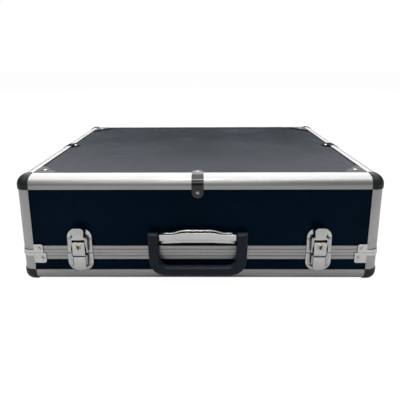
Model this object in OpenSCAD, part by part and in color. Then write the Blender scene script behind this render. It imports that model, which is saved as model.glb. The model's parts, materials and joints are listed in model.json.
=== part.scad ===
// Hard attache case with an aluminium edge frame, lying on its shallow half.
// +X is the case's right seen from the front, -Y is the front, +Z is up.
// The origin is on the surface it rests on, at the middle of its footprint.

/* [Case] */
// Width over the corner caps
case_w = 460; // [420:5:520]
// Depth over the corner caps
case_d = 330; // [300:5:400]
// Height over the corner caps
case_h = 144; // [134:1:180]
// Height of the parting plane between the halves
seam_z = 41.5; // [40:0.5:44]
// How far the corner caps stand proud of the rails
cap_proud = 1; // [0.6:0.1:1.2]

/* [Edge rails] */
// Width of each leg of the edge rail
leg = 16.5; // [15.5:0.5:17]
// Outer corner radius of the edge rail
rail_r = 12; // [11:0.5:12.5]
// Wall of the rails
skin = 1.5; // [1.2:0.1:1.6]
// Thickness of the wall panels
panel_t = 4; // [3:0.1:4]
// Thickness of the lining
lining_t = 2; // [1:0.5:2]
// Visible height of one seam profile
seam_h = 9; // [8.5:0.1:9.4]

/* [Latches] */
// Half the distance between the latches
latch_x = 151.8; // [120:0.2:165]
// How far the pair of latches sits from the middle
latch_mid = -0.9; // [-2:0.1:2]
// Radius of the key plug
plug_r = 3; // [2.8:0.1:3.2]

/* [Handle] */
// Half width over the handle
grip_hw = 62.6; // [58:0.2:66]
// Width of one handle arm
arm_w = 13.4; // [11:0.2:14]
// Height of the grip's lower edge when it hangs
grip_z0 = 15; // [14:0.5:19]
// Height of the handle axle
axle_z = 67; // [66:0.5:68]
// How far the handle and the front strap sit from the middle
handle_x = -2.5; // [-4:0.5:4]
// Distance of the handle axle in front of the rails
axle_out = 6.4; // [6:0.1:7]

/* [Hinges and feet] */
// Distance of each hinge from the middle
hinge_x = 120; // [80:1:150]
// Distance of the hinge axis behind the rails
hinge_out = 4.5; // [4.4:0.1:4.6]
// Distance of each foot from the middle
foot_x = 190; // [170:1:195]
// Radius of a foot
foot_r = 6.4; // [5:0.1:6.4]
// How far the feet reach behind the rails
foot_len = 10; // [9:0.5:12]

/* [Hidden] */
$fn = 64;

// half width and half depth over the rails, and their lowest and highest faces
hx = case_w / 2 - cap_proud;
hy = case_d / 2 - cap_proud;
z_lo = cap_proud;
z_hi = case_h - cap_proud;
// gap at the parting plane, and the play between pieces of one half
seam_gap = 0.3;
play = 0.1;
axis_z = seam_z + seam_gap / 2;
// depths in from the rail face: panel back, slot back, core, lining
panel_in = skin + panel_t;
slot_in = panel_in + play;
flange_t = 1.4;
core = slot_in + 2.2;
edge_in = core + 0.2;
flange_end = leg - 2;
lining_in = edge_in + lining_t;
// the panels stop where the rail's rounding starts
stop_in = rail_r;
board_in = stop_in + play;
// seam profile: thickness of its web, and its tongue and groove
web_lo = 3.3;
web_hi = 4.2;
web_end = lining_in + 0.2;
tongue_u = [4, 6];
tongue_h = 2.5;
groove_u = [3.3, 6.7];
groove_h = 2.8;
// heights of the wall panels' inner ends
wall_lo_top = seam_z - web_lo - 0.2;
wall_hi_bot = seam_z + seam_gap + web_hi + 0.2;
// sheet metal strap and plates laid on the rails
strap_t = 0.9;
clip_w = 14.5;
tab_c = 20.8;
leaf_c = 28;
rivet_r = 2.3;
shank_r = 1.5;
// seam corner plates above and below the seam: reach along the face, height, rivet
plate_up = [28.6, 11.5, 24.6];
plate_dn = [32, 14, 27.6];
// latch pivots: distance in front of the rails, and height above the hinge axis
p1 = [3.2, 10];
p2 = [4.4, 15.6];
lock_z = 11;
hook_w = 15.8;
bridge_z = 20.2;
// rivet places on the wall faces, as height above the parting plane
rivet_up_z = 6.5;
rivet_dn_z = -6.5;
// hinge leaf rivets, as [x, z] from the hinge axis
leaf_rivets = [[-14, 5.5], [14, 5.5], [-14, 14], [14, 14]];
// latch plate rivets, as [x, z] from the seam
base_rivets = [[-13.1, 20], [13.1, 20]];
catch_rivets = [[-10.6, -17], [10.6, -17]];

// ---------- placing ----------

module four() {
    for (sx = [0, 1], sy = [0, 1]) mirror([sx, 0, 0]) mirror([0, sy, 0]) children();
}

module top_side() {
    translate([0, 0, z_lo + z_hi]) mirror([0, 0, 1]) children();
}

// section with u along +Y and v along +Z, run along X
module run_x(len) {
    translate([-len / 2, 0, 0]) rotate([90, 0, 90]) linear_extrude(len) children();
}

// section with u along +X and v along +Z, run along Y
module run_y(len) {
    translate([0, len / 2, 0]) rotate([90, 0, 0]) linear_extrude(len) children();
}

// local z points out of the front, rear, left, right, top or bottom face
module on_front(x, z) translate([x, -hy, z]) rotate([90, 0, 0]) children();
module on_rear(x, z) translate([x, hy, z]) rotate([-90, 0, 0]) children();
module on_left(y, z) translate([-hx, y, z]) rotate([0, -90, 0]) children();
module on_right(y, z) translate([hx, y, z]) rotate([0, 90, 0]) children();
module on_top(x, y) translate([x, y, z_hi]) children();
module on_bottom(x, y) translate([x, y, z_lo]) rotate([180, 0, 0]) children();

// ---------- sections ----------

// square with one rounded corner at its origin
module corner_outline(size, r) {
    intersection() {
        square(size);
        union() {
            translate([r, r]) circle(r, $fn = 96);
            translate([r, 0]) square([size, size]);
            translate([0, r]) square([size, size]);
        }
    }
}

module skin_section() {
    difference() {
        corner_outline(leg, rail_r);
        translate([skin, skin]) corner_outline(leg, rail_r - skin);
    }
}

module rail_section() {
    skin_section();
    intersection() {
        corner_outline(leg, rail_r);
        union() {
            square(core);
            slot_stops();
            translate([0, slot_in]) square([flange_end, flange_t]);
            translate([slot_in, 0]) square([flange_t, flange_end]);
        }
    }
}

// floors of the two panel slots
module slot_stops() {
    square([stop_in, slot_in - play]);
    square([slot_in - play, stop_in]);
}

// skin and slot floors alone, beside the seam profile
module open_section() {
    skin_section();
    intersection() {
        corner_outline(leg, rail_r);
        slot_stops();
    }
}

module rounded_rect(ax, ay, r) {
    square([2 * ax, 2 * (ay - r)], center = true);
    square([2 * (ax - r), 2 * ay], center = true);
    for (sx = [-1, 1], sy = [-1, 1])
        translate([sx * (ax - r), sy * (ay - r)]) circle(r, $fn = 64);
}

// closed band between two depths in from the rail faces
module band(u0, u1, r0, r1) {
    difference() {
        rounded_rect(hx - u0, hy - u0, r0);
        rounded_rect(hx - u1, hy - u1, r1);
    }
}

// ---------- fasteners ----------

// domed rivet standing on a face at height h, with its shank below
module rivet(h, below, dome) {
    r = (rivet_r * rivet_r + dome * dome) / (2 * dome);
    translate([0, 0, h]) intersection() {
        translate([0, 0, dome - r]) sphere(r, $fn = 64);
        translate([-4, -4, 0]) cube([8, 8, 3]);
    }
    translate([0, 0, -below]) cylinder(r = shank_r, h = h + below + 0.3, $fn = 32);
}

module shank_hole(below, above) {
    translate([0, 0, -below]) cylinder(r = shank_r + play, h = above + below, $fn = 32);
}

// rivet places of the deep half that also pierce its panels
module upper_places() {
    zf = z_hi - tab_c;
    for (sx = [-1, 1], sy = [-1, 1])
        on_top(sx * (hx - leaf_c), sy * (hy - leaf_c)) children(0);
    on_top(handle_x, tab_c - hy) children(1);
    for (sx = [-1, 1]) on_top(sx * (hx - tab_c), 0) children(1);
    on_front(handle_x, zf) children(1);
    on_left(0, zf) children(1);
    on_right(0, zf) children(1);
    for (sx = [-1, 1], p = base_rivets)
        on_front(latch_mid + sx * latch_x + p[0], axis_z + p[1]) children(2);
    for (sx = [-1, 1], p = leaf_rivets)
        on_rear(sx * hinge_x + p[0], axis_z + p[1]) children(2);
    corner_places(axis_z + rivet_up_z, plate_up[2]) children(3);
}

module lower_places() {
    for (sx = [-1, 1], sy = [-1, 1])
        on_bottom(sx * (hx - leaf_c), sy * (hy - leaf_c)) children(0);
    for (sx = [-1, 1], p = catch_rivets)
        on_front(latch_mid + sx * latch_x + p[0], axis_z + p[1]) children(2);
    for (sx = [-1, 1], p = leaf_rivets)
        on_rear(sx * hinge_x + p[0], axis_z - p[1]) children(2);
    corner_places(axis_z + rivet_dn_z, plate_dn[2]) children(3);
}

module corner_places(z, in) {
    for (s = [-1, 1]) {
        on_front(s * (hx - in), z) children();
        on_rear(s * (hx - in), z) children();
        on_left(s * (hy - in), z) children();
        on_right(s * (hy - in), z) children();
    }
}

module upper_holes() {
    upper_places() {
        shank_hole(7.8, 10);
        shank_hole(7.8, 10);
        shank_hole(7.8, 10);
        shank_hole(7.8, 10);
    }
}

module lower_holes() {
    lower_places() {
        shank_hole(7.8, 10);
        shank_hole(7.8, 10);
        shank_hole(7.8, 10);
        shank_hole(7.8, 10);
    }
}

// ---------- panels ----------

module face_panel() {
    translate([-(hx - board_in), -(hy - board_in), z_lo + skin])
        cube([2 * (hx - board_in), 2 * (hy - board_in), panel_t]);
}

module front_wall(z0, z1) {
    translate([-(hx - board_in), -hy + skin, z0])
        cube([2 * (hx - board_in), panel_t, z1 - z0]);
}

module left_wall(z0, z1) {
    translate([-hx + skin, -(hy - board_in), z0])
        cube([panel_t, 2 * (hy - board_in), z1 - z0]);
}

module panel_colour() color([0.05, 0.08, 0.14]) children();

module lower_front_wall() front_wall(z_lo + board_in, wall_lo_top);
module lower_left_wall() left_wall(z_lo + board_in, wall_lo_top);
module upper_front_wall() front_wall(wall_hi_bot, z_hi - board_in);
module upper_left_wall() left_wall(wall_hi_bot, z_hi - board_in);

module lower_drilled() panel_colour() difference() { children(); lower_holes(); }
module upper_drilled() panel_colour() difference() { children(); upper_holes(); }

module lower_face_panel() lower_drilled() face_panel();
module lower_front_panel() lower_drilled() lower_front_wall();
module lower_rear_panel() lower_drilled() mirror([0, 1, 0]) lower_front_wall();
module lower_left_panel() lower_drilled() lower_left_wall();
module lower_right_panel() lower_drilled() mirror([1, 0, 0]) lower_left_wall();
module upper_face_panel() upper_drilled() top_side() face_panel();
module upper_front_panel() upper_drilled() upper_front_wall();
module upper_rear_panel() upper_drilled() mirror([0, 1, 0]) upper_front_wall();
module upper_left_panel() upper_drilled() upper_left_wall();
module upper_right_panel() upper_drilled() mirror([1, 0, 0]) upper_left_wall();

// ---------- edge rails ----------

module metal() color([0.72, 0.73, 0.74]) children();

module front_rail() {
    metal() translate([0, -hy, z_lo]) run_x(2 * (hx - leg)) rail_section();
}

module left_rail() {
    metal() translate([-hx, 0, z_lo]) run_y(2 * (hy - leg)) rail_section();
}

module lower_front_rail() front_rail();
module lower_rear_rail() mirror([0, 1, 0]) front_rail();
module lower_left_rail() left_rail();
module lower_right_rail() mirror([1, 0, 0]) left_rail();
module upper_front_rail() top_side() front_rail();
module upper_rear_rail() top_side() mirror([0, 1, 0]) front_rail();
module upper_left_rail() top_side() left_rail();
module upper_right_rail() top_side() mirror([1, 0, 0]) left_rail();

// corner post: full section clear of the seam profile, cut back beside it
module lower_posts() {
    z0 = z_lo + leg;
    metal() four() translate([-hx, -hy, z0]) {
        linear_extrude(seam_z - z0) skin_section();
        linear_extrude(wall_lo_top - z0) open_section();
        linear_extrude(seam_z - seam_h - play - z0) rail_section();
    }
}

module upper_posts() {
    z0 = seam_z + seam_gap;
    z1 = z_hi - leg;
    full = z0 + seam_h + play;
    metal() four() {
        translate([-hx, -hy, z0]) linear_extrude(z1 - z0) skin_section();
        translate([-hx, -hy, wall_hi_bot]) linear_extrude(z1 - wall_hi_bot) open_section();
        translate([-hx, -hy, full]) linear_extrude(z1 - full) rail_section();
    }
}

// outer face of a seam profile between the posts, with one groove along it
module seam_faces(z0, z_web, t_web) {
    lx = hx - leg - play;
    ly = hy - leg - play;
    mid = z0 + seam_h / 2;
    difference() {
        for (s = [0, 1]) {
            mirror([0, s, 0]) {
                translate([-lx, -hy, z0]) cube([2 * lx, skin, seam_h]);
                translate([-lx, -hy, z_web]) cube([2 * lx, 3, t_web]);
            }
            mirror([s, 0, 0]) {
                translate([-hx, -ly, z0]) cube([skin, 2 * ly, seam_h]);
                translate([-hx, -ly, z_web]) cube([3, 2 * ly, t_web]);
            }
        }
        for (s = [0, 1]) {
            mirror([0, s, 0]) translate([-hx, -hy - 1, mid - 0.6]) cube([2 * hx, 1.5, 1.2]);
            mirror([s, 0, 0]) translate([-hx - 1, -hy, mid - 0.6]) cube([1.5, 2 * hy, 1.2]);
        }
    }
}

module lower_seam_ring() {
    web_z = seam_z - web_lo;
    r_web = rail_r - skin - play;
    metal() difference() {
        union() {
            translate([0, 0, web_z]) linear_extrude(web_lo)
                band(skin + play, web_end, r_web, 4);
            translate([0, 0, seam_z - seam_h]) linear_extrude(seam_h - 1)
                band(slot_in, slot_in + flange_t, 5, 2);
            translate([0, 0, seam_z - 1]) linear_extrude(tongue_h + 1)
                band(tongue_u[0], tongue_u[1], 8, 6);
            seam_faces(seam_z - seam_h, web_z, web_lo);
        }
        lower_holes();
    }
}

module upper_seam_ring() {
    z0 = seam_z + seam_gap;
    r_web = rail_r - skin - play;
    metal() difference() {
        union() {
            translate([0, 0, z0]) linear_extrude(web_hi)
                band(skin + play, web_end, r_web, 4);
            translate([0, 0, z0 + 3]) linear_extrude(seam_h - 3)
                band(slot_in, slot_in + flange_t, 5, 2);
            seam_faces(z0, z0, web_hi);
        }
        translate([0, 0, z0 - 1]) linear_extrude(groove_h + 1)
            band(groove_u[0], groove_u[1], 8.7, 5.3);
        upper_holes();
    }
}

// ---------- corner caps ----------

// moulded corner block with a slot for each panel, and its leaf on the face panel
module cap() {
    e = leg - play;
    o = -cap_proud;
    n = e - o;
    r = rail_r + cap_proud;
    s0 = skin - play;
    in = core + play;
    far = stop_in;
    color([0.09, 0.1, 0.11]) translate([-hx, -hy, z_lo]) {
        difference() {
            intersection() {
                translate([o, o, o]) linear_extrude(n) corner_outline(n, r);
                translate([o, n + o, o]) rotate([90, 0, 0])
                    linear_extrude(n) corner_outline(n, r);
                translate([o, o, o]) rotate([90, 0, 90])
                    linear_extrude(n) corner_outline(n, r);
                translate([leg, leg, leg]) sphere(20.4, $fn = 96);
            }
            translate([far, far, s0]) cube([leg, leg, slot_in - s0]);
            translate([far, s0, far]) cube([leg, slot_in - s0, leg]);
            translate([s0, far, far]) cube([slot_in - s0, leg, leg]);
            translate([in, in, in]) cube(leg);
        }
        difference() {
            translate([0, 0, -0.4]) linear_extrude(skin + 0.4 - 0.05) leaf_outline();
            translate([leaf_c, leaf_c, -3]) cylinder(r = shank_r + play, h = 8, $fn = 32);
        }
    }
}

module leaf_outline() {
    a = leg + play;
    polygon([[a, a], [43, a], [45, a + 1], [45.5, a + 3], [44, a + 5.5],
        [a + 5.5, 44], [a + 3, 45.5], [a + 1, 45], [a, 43]]);
}

module lower_cap_front_left() cap();
module lower_cap_front_right() mirror([1, 0, 0]) cap();
module lower_cap_rear_left() mirror([0, 1, 0]) cap();
module lower_cap_rear_right() mirror([1, 0, 0]) mirror([0, 1, 0]) cap();
module upper_cap_front_left() top_side() lower_cap_front_left();
module upper_cap_front_right() top_side() lower_cap_front_right();
module upper_cap_rear_left() top_side() lower_cap_rear_left();
module upper_cap_rear_right() top_side() lower_cap_rear_right();

// ---------- linings ----------

module tub(z0, z1) {
    ax = hx - edge_in;
    ay = hy - edge_in;
    color([0.16, 0.16, 0.17]) difference() {
        translate([-ax, -ay, z0]) cube([2 * ax, 2 * ay, z1 - z0]);
        translate([-ax + lining_t, -ay + lining_t, z0 + lining_t])
            cube([2 * (ax - lining_t), 2 * (ay - lining_t), z1 - z0]);
    }
}

module lower_lining() tub(z_lo + edge_in, wall_lo_top);
module upper_lining() top_side() tub(z_lo + edge_in, z_lo + z_hi - wall_hi_bot);

// ---------- plates over the seam corners and straps over the top rails ----------

module chrome() color([0.8, 0.8, 0.8]) children();

// one wing of a seam corner plate, as a front view outline; p is its reach and height
module wing_outline(p) {
    w = p[0] - leg;
    difference() {
        translate([leg, 0]) square([w, p[1]]);
        translate([leg + w - 3, p[1] - 3]) square(4);
    }
    translate([leg + w - 3, p[1] - 3]) circle(3, $fn = 32);
}

module wing(p, past) {
    rotate([90, 0, 0]) linear_extrude(strap_t) wing_outline(p);
    translate([leg + 0.2, 0, past]) cube([p[0] - leg - 3.4, skin, p[1] - past]);
}

module seam_corner(p) {
    four() translate([-hx, -hy, 0]) {
        linear_extrude(4) difference() {
            translate([-strap_t, -strap_t])
                corner_outline(leg + 0.1 + strap_t, rail_r + strap_t);
            corner_outline(leg + 1, rail_r);
        }
        wing(p, seam_h + 0.2);
        mirror([1, -1, 0]) wing(p, seam_h + 0.2);
    }
}

module upper_seam_corners() {
    chrome() difference() {
        translate([0, 0, seam_z + seam_gap]) seam_corner(plate_up);
        upper_holes();
    }
}

module lower_seam_corners() {
    chrome() difference() {
        translate([0, 0, seam_z]) mirror([0, 0, 1]) seam_corner(plate_dn);
        lower_holes();
    }
}

module strap_section() {
    difference() {
        translate([-strap_t, -strap_t])
            corner_outline(leg + 1.2 + strap_t, rail_r + strap_t);
        corner_outline(leg + 4, rail_r);
    }
    for (m = [0, 1]) mirror([m, -m, 0]) {
        translate([leg + play, -strap_t]) square([1.1, skin + strap_t]);
        translate([leg + play, 0.3]) square([tab_c - leg, skin - 0.3]);
    }
}

module tab_shape() {
    intersection() {
        translate([0, tab_c]) circle(clip_w / 2);
        translate([-clip_w, leg + play]) square(2 * clip_w);
    }
}

// strap over one top rail, with a rounded tab on each panel
module clip() {
    run_x(clip_w) strap_section();
    translate([0, 0, 0.3]) linear_extrude(skin - 0.3) tab_shape();
    translate([0, skin, 0]) rotate([90, 0, 0]) linear_extrude(skin - 0.3) tab_shape();
}

module rail_clips() {
    chrome() difference() {
        top_side() {
            translate([handle_x, -hy, z_lo]) clip();
            for (s = [0, 1]) mirror([s, 0, 0])
                translate([-hx, 0, z_lo]) rotate([0, 0, -90]) clip();
        }
        upper_holes();
    }
}

module upper_rivets() {
    chrome() upper_places() {
        rivet(0.4, 5.5, 0.5);
        rivet(-0.3, 5.5, 0.9);
        rivet(1, 5.5, 0.8);
        rivet(strap_t, 7, 0.8);
    }
}

module lower_rivets() {
    chrome() lower_places() {
        rivet(0.4, 5.5, 0.5);
        rivet(-0.3, 5.5, 0.9);
        rivet(1, 5.5, 0.8);
        rivet(strap_t, 7, 0.8);
    }
}

// ---------- hinges and feet ----------

// leaf below the hinge axis at the middle of the rear face, for a lower or an upper half
module leaf(xs, z_end) {
    chrome() difference() {
        union() {
            translate([-20, 0, -z_end]) cube([40, 1, z_end - 1.2]);
            translate([-19, -skin + play, -z_end + 1]) cube([38, skin, z_end - seam_h - 1.6]);
            for (x = xs) {
                translate([x[0], 0.2, -3]) cube([x[1] - x[0], hinge_out - 0.2, 1.8]);
                translate([x[0], hinge_out, 0]) rotate([0, 90, 0])
                    cylinder(r = 3.2, h = x[1] - x[0]);
            }
        }
        translate([-30, hinge_out, 0]) rotate([0, 90, 0]) cylinder(r = 1.55, h = 60);
    }
}

module lower_leaf(s) {
    difference() {
        translate([s * hinge_x, hy, axis_z]) leaf([[-18, -6.3], [6.3, 18]], 18.2);
        lower_holes();
    }
}

module upper_leaf(s) {
    difference() {
        translate([s * hinge_x, hy, axis_z]) mirror([0, 0, 1]) leaf([[-6, 6]], 18.2);
        upper_holes();
    }
}

module hinge_left_lower_leaf() lower_leaf(-1);
module hinge_left_upper_leaf() upper_leaf(-1);
module hinge_right_lower_leaf() lower_leaf(1);
module hinge_right_upper_leaf() upper_leaf(1);

module hinge_pins() {
    chrome() for (s = [-1, 1])
        translate([s * hinge_x - 18.6, hy + hinge_out, axis_z]) rotate([0, 90, 0]) {
            cylinder(r = 1.5, h = 37.2, $fn = 48);
            for (x = [-0.8, 37.2]) translate([0, 0, x]) cylinder(r = 2.3, h = 0.8, $fn = 48);
        }
}

module foot() {
    color([0.07, 0.07, 0.08]) rotate_extrude($fn = 64)
        polygon([[0, -skin], [foot_r, -skin], [foot_r, foot_len - 1.5],
            [foot_r - 1.5, foot_len], [0, foot_len]]);
}

module lower_feet() {
    zc = (z_lo + leg + seam_z - seam_h) / 2;
    for (s = [-1, 1]) on_rear(s * foot_x, zc) foot();
}

module upper_feet() {
    for (s = [-1, 1]) on_rear(s * foot_x, z_hi - 24) foot();
}

// ---------- latches ----------

// local frame: x across, y = -distance in front of the rails, z above the hinge axis level
module at_latch(s) translate([latch_mid + s * latch_x, -hy, axis_z]) children();

// plate outline seen from the front, rounded at its upper end
module plate_outline(w, z0, z1, r) {
    translate([-w / 2, z0]) square([w, z1 - z0 - r]);
    translate([-w / 2 + r, z0]) square([w - 2 * r, z1 - z0]);
    for (s = [-1, 1]) translate([s * (w / 2 - r), z1 - r]) circle(r);
}

module stand_up(out0, out1) {
    translate([0, -out0, 0]) rotate([90, 0, 0]) linear_extrude(out1 - out0) children();
}

// side view shape with [out, z] points, spread over x0 to x1
module side_plate(x0, x1) {
    translate([x0, 0, 0]) rotate([90, 0, 90]) linear_extrude(x1 - x0)
        mirror([1, 0]) children();
}

module cross_pin(p, r, half) {
    translate([-half, -p[0], p[1]]) rotate([0, 90, 0]) cylinder(r = r, h = 2 * half, $fn = 48);
}

module latch_base(s) {
    chrome() difference() {
        at_latch(s) {
            stand_up(0, 1) plate_outline(31, 0.5, 34, 12.5);
            stand_up(-skin + play, 0.5) plate_outline(29, seam_h + 0.4, 33, 11.5);
            for (m = [0, 1]) mirror([m, 0, 0])
                side_plate(9.7, 10.7) translate([0.5, 3]) square([5.6, 20]);
            cross_pin(p1, 0.9, 10.5);
        }
        upper_holes();
    }
}

module latch_lever(s) {
    chrome() at_latch(s) {
        difference() {
            for (m = [0, 1]) mirror([m, 0, 0]) side_plate(8.2, 9.4) {
                translate(p1) circle(1.9, $fn = 48);
                translate(p2) circle(2, $fn = 48);
                translate([p1[0] - 1.9, p1[1]]) square([3.8, p2[1] - p1[1]]);
                translate([p2[0] - 2, p2[1] - 2]) square([4, 8.4]);
            }
            cross_pin(p1, 0.95, 12);
        }
        translate([-9.4, -6.4, bridge_z]) cube([18.8, 2, 2.6]);
        intersection() {
            side_plate(-9, 9) polygon([[5, bridge_z], [6.4, bridge_z], [7.2, 29],
                [9.4, 37.3], [8.1, 37.6], [5.8, 29.3], [5, 23]]);
            stand_up(0, 12) tab_outline();
        }
        cross_pin(p2, 0.9, 9.2);
    }
}

module tab_outline() {
    polygon([[-6.5, 19], [6.5, 19], [7.9, 32], [-7.9, 32]]);
    difference() {
        translate([0, 32]) circle(7.9);
        translate([-9, 23]) square([18, 9]);
        translate([-9, 37.5]) square([18, 9]);
    }
}

module latch_hook(s) {
    chrome() at_latch(s) difference() {
        union() {
            stand_up(p2[0], 5.6) translate([-7.5, -21]) square([15, 36.6]);
            stand_up(5.2, 7.2) translate([-hook_w / 2, -0.8]) square([hook_w, 18.1]);
            stand_up(5.2, 7) mirror([0, 1]) plate_outline(hook_w, 2.3, 22, 6);
            translate([-5.6, -5, -20.1]) cube([11.2, 3.2, 1.9]);
            cross_pin(p2, 1.9, hook_w / 2);
            translate([0, -5, lock_z]) rotate([90, 0, 0]) cylinder(r = plug_r + 0.8, h = 2.6);
        }
        cross_pin(p2, 0.95, 9);
        translate([0, -5.7, lock_z]) rotate([90, 0, 0]) cylinder(r = plug_r + 0.05, h = 5);
    }
}

module latch_plug(s) {
    color([0.72, 0.6, 0.32]) at_latch(s) difference() {
        translate([0, -5.8, lock_z]) rotate([90, 0, 0]) cylinder(r = plug_r, h = 2);
        translate([0, -6.2, lock_z + 0.9]) rotate([90, 0, 0])
            cylinder(r = 1.2, h = 3, $fn = 32);
        translate([-0.65, -9, lock_z - 2.5]) cube([1.3, 2.8, 3.4]);
    }
}

module latch_catch(s) {
    chrome() difference() {
        at_latch(s) union() {
            stand_up(0, 1) mirror([0, 1]) plate_outline(32, 0.5, 24, 12);
            stand_up(-skin + play, 0.5) translate([-12, -22]) square([24, 12.4]);
            for (m = [0, 1]) mirror([m, 0, 0])
                side_plate(8.4, 9.6) translate([0.5, -14]) square([5, 13]);
            translate([-5.5, -3.6, -17.6]) cube([11, 3, 1.2]);
            translate([-5.5, -3.6, -17.6]) cube([11, 1.2, 4.6]);
        }
        lower_holes();
    }
}

module latch_left_base() latch_base(-1);
module latch_left_lever() latch_lever(-1);
module latch_left_hook() latch_hook(-1);
module latch_left_plug() latch_plug(-1);
module latch_left_catch() latch_catch(-1);
module latch_right_base() latch_base(1);
module latch_right_lever() latch_lever(1);
module latch_right_hook() latch_hook(1);
module latch_right_plug() latch_plug(1);
module latch_right_catch() latch_catch(1);

// ---------- handle ----------

hand_in = grip_hw - arm_w;
housing_hw = hand_in - 1.6;

// long outline whose lower and upper edges rise towards the middle
module arched_outline(w, z0, z1, low, high) {
    polygon([[-w, z0], [-40, z0], [-19, z0 + low], [19, z0 + low], [40, z0], [w, z0],
        [w, z1], [35, z1], [17, z1 + high], [-17, z1 + high], [-35, z1], [-w, z1]]);
}

module at_handle() translate([handle_x, -hy, 0]) children();

module handle_plate() {
    chrome() at_handle() stand_up(-skin, 1)
        arched_outline(housing_hw, axle_z - 12.7, axle_z + 2, 1, 3.9);
}

module handle_housing() {
    z0 = axle_z - 3.8;
    z1 = axle_z + 4.2;
    chrome() at_handle() difference() {
        union() {
            stand_up(9.2, 10.4) arched_outline(housing_hw, z0, z1, 1.4, 2.3);
            stand_up(1, 9.4) {
                for (s = [-1, 1])
                    translate([s * (housing_hw - 2) - 2, z0]) square([4, z1 - z0]);
                translate([-housing_hw, z0]) square([2 * housing_hw, 1]);
            }
        }
        translate([-70, -axle_out, axle_z]) rotate([0, 90, 0])
            cylinder(r = 2, h = 140, $fn = 48);
    }
}

module handle_pins() {
    color([0.55, 0.55, 0.56]) at_handle() for (s = [0, 1]) mirror([s, 0, 0])
        translate([housing_hw - 6, -axle_out, axle_z]) rotate([0, 90, 0]) {
            cylinder(r = 2, h = grip_hw - housing_hw + 5.5, $fn = 48);
            cylinder(r = 2.4, h = 1.4, $fn = 48);
        }
}

module bail_outline() {
    r_out = 19;
    r_in = 12;
    z1 = grip_z0 + 12.4;
    difference() {
        union() {
            translate([-grip_hw, grip_z0 + r_out])
                square([2 * grip_hw, axle_z - grip_z0 - r_out]);
            translate([-grip_hw + r_out, grip_z0]) square([2 * (grip_hw - r_out), 30]);
            for (s = [-1, 1]) translate([s * (grip_hw - r_out), grip_z0 + r_out])
                circle(r_out, $fn = 96);
        }
        translate([-hand_in, z1 + r_in]) square([2 * hand_in, 90]);
        translate([-hand_in + r_in, z1]) square([2 * (hand_in - r_in), 90]);
        for (s = [-1, 1]) translate([s * (hand_in - r_in), z1 + r_in])
            circle(r_in, $fn = 96);
    }
}

module handle_bail() {
    color([0.1, 0.12, 0.15]) at_handle() difference() {
        union() {
            stand_up(axle_out - 5.4, axle_out + 5.4) bail_outline();
            stand_up(2, 13) translate([-(hand_in - 10), grip_z0 + 1])
                square([2 * (hand_in - 10), 10.6]);
            for (s = [0, 1]) mirror([s, 0, 0])
                translate([hand_in, -axle_out, axle_z]) rotate([0, 90, 0])
                    cylinder(r = 5.4, h = arm_w);
        }
        translate([-70, -axle_out, axle_z]) rotate([0, 90, 0])
            cylinder(r = 2.05, h = 140, $fn = 48);
    }
}

lower_face_panel();
lower_front_panel();
lower_rear_panel();
lower_left_panel();
lower_right_panel();
lower_front_rail();
lower_rear_rail();
lower_left_rail();
lower_right_rail();
lower_posts();
lower_seam_ring();
lower_lining();
lower_cap_front_left();
lower_cap_front_right();
lower_cap_rear_left();
lower_cap_rear_right();
upper_face_panel();
upper_front_panel();
upper_rear_panel();
upper_left_panel();
upper_right_panel();
upper_front_rail();
upper_rear_rail();
upper_left_rail();
upper_right_rail();
upper_posts();
upper_seam_ring();
upper_lining();
upper_cap_front_left();
upper_cap_front_right();
upper_cap_rear_left();
upper_cap_rear_right();
lower_seam_corners();
upper_seam_corners();
rail_clips();
lower_rivets();
upper_rivets();
lower_feet();
upper_feet();
hinge_left_lower_leaf();
hinge_left_upper_leaf();
hinge_right_lower_leaf();
hinge_right_upper_leaf();
hinge_pins();
latch_left_base();
latch_left_lever();
latch_left_hook();
latch_left_plug();
latch_left_catch();
latch_right_base();
latch_right_lever();
latch_right_hook();
latch_right_plug();
latch_right_catch();
handle_plate();
handle_housing();
handle_pins();
handle_bail();
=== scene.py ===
import json
import math

import bmesh
import bpy
from bpy.props import FloatProperty, FloatVectorProperty, PointerProperty
from mathutils import Matrix, Vector


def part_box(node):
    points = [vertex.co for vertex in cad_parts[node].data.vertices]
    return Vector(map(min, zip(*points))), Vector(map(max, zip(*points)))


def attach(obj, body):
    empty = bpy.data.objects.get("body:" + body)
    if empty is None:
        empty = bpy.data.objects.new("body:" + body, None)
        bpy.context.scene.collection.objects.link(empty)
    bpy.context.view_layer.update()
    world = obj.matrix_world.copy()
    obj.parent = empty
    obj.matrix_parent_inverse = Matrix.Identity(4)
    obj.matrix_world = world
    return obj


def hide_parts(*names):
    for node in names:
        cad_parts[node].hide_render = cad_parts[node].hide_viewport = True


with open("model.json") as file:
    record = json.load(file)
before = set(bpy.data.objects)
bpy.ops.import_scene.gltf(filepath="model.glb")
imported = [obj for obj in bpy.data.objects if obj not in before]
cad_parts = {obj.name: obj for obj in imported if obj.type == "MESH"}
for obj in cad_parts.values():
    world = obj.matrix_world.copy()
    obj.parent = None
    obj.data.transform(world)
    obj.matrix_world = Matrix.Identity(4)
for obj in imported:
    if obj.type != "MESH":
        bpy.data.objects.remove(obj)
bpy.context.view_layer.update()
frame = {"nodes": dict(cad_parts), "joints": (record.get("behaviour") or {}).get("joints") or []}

bl_info = {
    "name": "Attache case builder",
    "version": (1, 0, 0),
    "blender": (4, 5, 0),
    "location": "View3D > Sidebar > Attache case",
    "description": "Finishes an aluminium-edged attache case around its packed frame",
    "category": "Object",
}

NODES = frame["nodes"]
JOINTS = {j["name"]: j for j in frame["joints"]}
MM = 0.001
SIDES = ("left", "right")

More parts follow.
